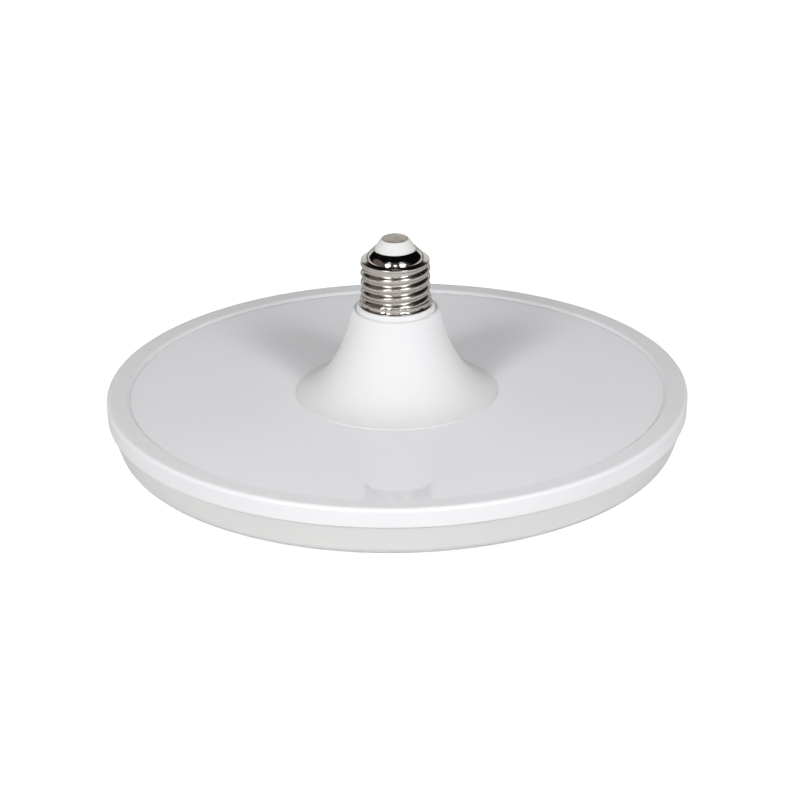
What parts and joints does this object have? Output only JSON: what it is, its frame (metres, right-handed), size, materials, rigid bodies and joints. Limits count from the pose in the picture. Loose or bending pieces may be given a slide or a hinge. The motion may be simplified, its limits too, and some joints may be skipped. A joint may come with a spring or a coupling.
{
  "type": "led disc lamp",
  "caption": "Flat disc LED lamp: shallow opal dish in a white rim, glossy back plate, flared white neck and a nickelled Edison screw cap.",
  "frame": {"origin": "middle of the flat opal front that the lamp lies on", "axes": "+Z along the lamp's axis, from the opal front up to the cap's centre contact; +X and +Y across the disc, alike"},
  "size_m": [0.22, 0.22, 0.0822],
  "materials": {
    "opal": "opal, satin moulded",
    "rim_white": "white, semi-gloss moulded",
    "plate_paint": "gloss light grey paint on aluminium",
    "neck_white": "white, satin moulded",
    "cap_nickel": "polished nickel plate",
    "cap_white": "white, gloss",
    "contact_tin": "tinned, dull",
    "adhesive": "grey silicone sheet",
    "board_white": "white solder mask on aluminium",
    "led_package": "white package with yellow window",
    "terminal": "ivory moulded",
    "screw_steel": "zinc plated",
    "board_laminate": "green laminate",
    "can_sleeve": "dark shrink sleeve",
    "film_box": "red dipped resin",
    "ferrite": "dark ferrite",
    "copper": "enamelled copper wire",
    "epoxy": "black moulded epoxy",
    "resistor_body": "lacquered ceramic",
    "wire_brown": "brown insulation",
    "wire_tinned": "bare tinned wire",
    "wire_red": "red insulation",
    "wire_black": "black insulation"
  },
  "bodies": {
    "root": {"diffuser": "opal", "rim_ring": "rim_white", "back_plate": "plate_paint", "neck_cover": "neck_white", "cap_shell": "cap_nickel", "cap_insulator": "cap_white", "centre_contact": "contact_tin", "thermal_pad": "adhesive", "led_board": "board_white", "led_chips": "led_package", "led_connector": "terminal", "neck_screws": "screw_steel", "driver_board": "board_laminate", "bulk_capacitor": "can_sleeve", "output_capacitor": "can_sleeve", "film_capacitor": "film_box", "choke_core": "ferrite", "choke_winding": "copper", "bridge_rectifier": "epoxy", "driver_ic": "epoxy", "output_diode": "epoxy", "smd_resistors": "resistor_body", "fuse_resistor": "resistor_body", "live_lead": "wire_brown", "neutral_lead": "wire_tinned", "led_lead_positive": "wire_red", "led_lead_negative": "wire_black"}
  },
  "joints": []
}
